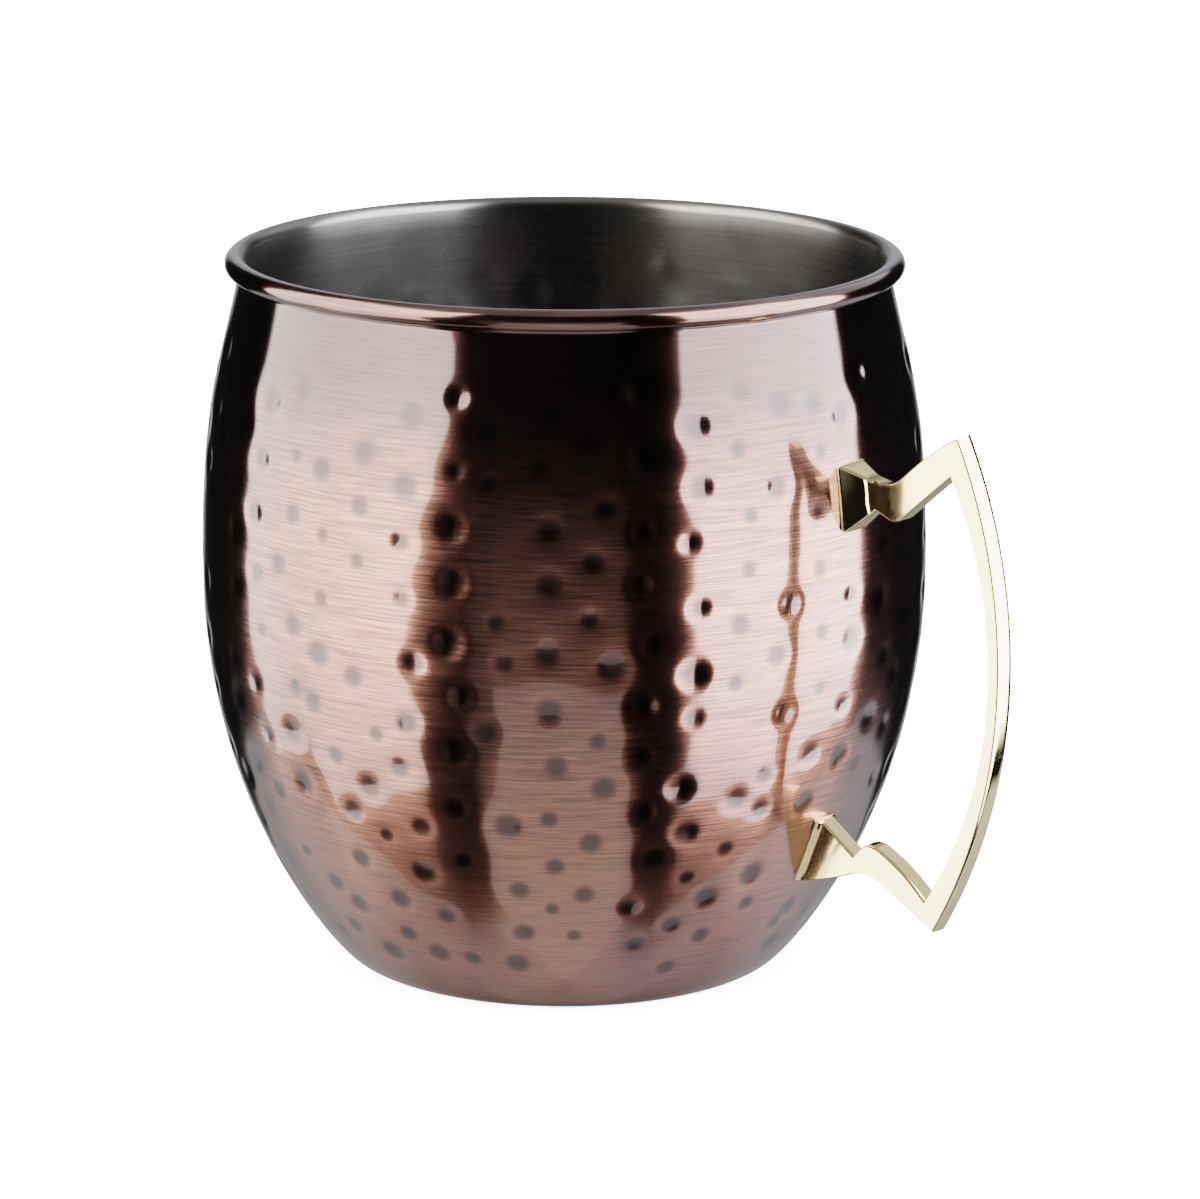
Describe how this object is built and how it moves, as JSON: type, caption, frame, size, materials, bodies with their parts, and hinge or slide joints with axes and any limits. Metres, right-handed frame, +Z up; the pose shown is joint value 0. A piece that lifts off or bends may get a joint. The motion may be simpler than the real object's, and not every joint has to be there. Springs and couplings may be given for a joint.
{
  "type": "copper mug",
  "caption": "Hammered barrel mug with a rolled rim, copper outside and steel inside, and a slender cast brass handle.",
  "frame": {"origin": "middle of the flat underside, on the body's own axis, at the level it stands on", "axes": "+Z up along the body's axis, +X out from the axis through the middle of the handle"},
  "size_m": [0.1205, 0.097, 0.0955],
  "materials": {
    "steel": "bare steel inside, brushed round the mug, with the soft bumps of the hammering",
    "antique_copper": "antique copper plating, brushed round the mug, hammered and clear lacquered",
    "polished_brass": "pale gold brass, polished",
    "braze": "satin brazing metal"
  },
  "bodies": {
    "root": {"steel_body": "steel", "copper_plating": "antique_copper", "brass_handle": "polished_brass", "upper_braze": "braze", "lower_braze": "braze"}
  },
  "joints": []
}
